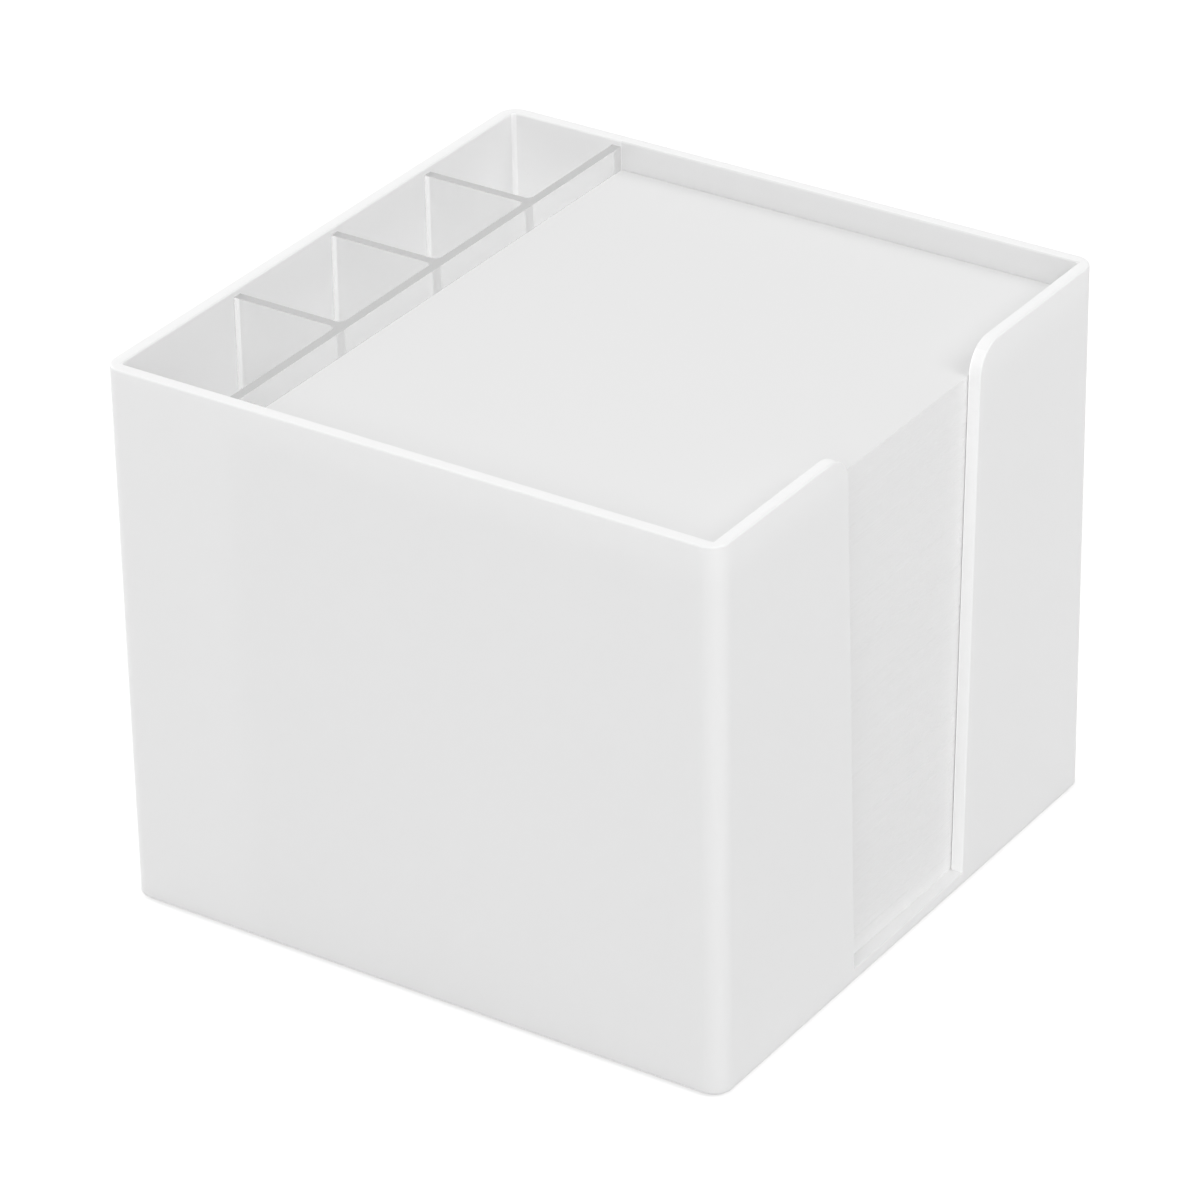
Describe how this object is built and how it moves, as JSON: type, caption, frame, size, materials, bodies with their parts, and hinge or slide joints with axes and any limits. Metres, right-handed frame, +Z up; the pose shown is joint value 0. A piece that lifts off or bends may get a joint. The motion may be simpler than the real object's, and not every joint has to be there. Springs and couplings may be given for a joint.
{
  "type": "memo pad holder",
  "caption": "Square open-top white desk case for a stack of loose note sheets, with a tapered finger slot in its front wall and a clear lift-out divider that makes pen wells behind the notes.",
  "frame": {"origin": "middle of the footprint, on the surface that the holder stands on", "axes": "+Z up; -Y is the front, with the finger slot; +X is the right-hand side seen from the front, so the widest pen well is at the back left"},
  "size_m": [0.1016, 0.1016, 0.0868],
  "materials": {
    "white_plastic": "satin to gloss, slightly translucent opal white",
    "clear_plastic": "clear, polished",
    "note_paper": "matte uncoated",
    "pad_rubber": "matte translucent"
  },
  "bodies": {
    "holder": {"case": "white_plastic", "pad_front_left": "pad_rubber", "pad_front_right": "pad_rubber", "pad_back_left": "pad_rubber", "pad_back_right": "pad_rubber"},
    "insert": {"divider_insert": "clear_plastic"},
    "notes": {"note_stack": "note_paper"},
    "loose_note": {"top_note": "note_paper"}
  },
  "joints": [
    {"name": "insert_lift", "type": "slide", "parent": "holder", "child": "insert", "axis": [0, 0, 1], "range_m": [0, 0.1]},
    {"name": "notes_lift", "type": "slide", "parent": "holder", "child": "notes", "axis": [0, 0, 1], "range_m": [0, 0.095]},
    {"name": "top_note_lift", "type": "slide", "parent": "notes", "child": "loose_note", "axis": [0, 0, 1], "range_m": [0, 0.03]}
  ]
}
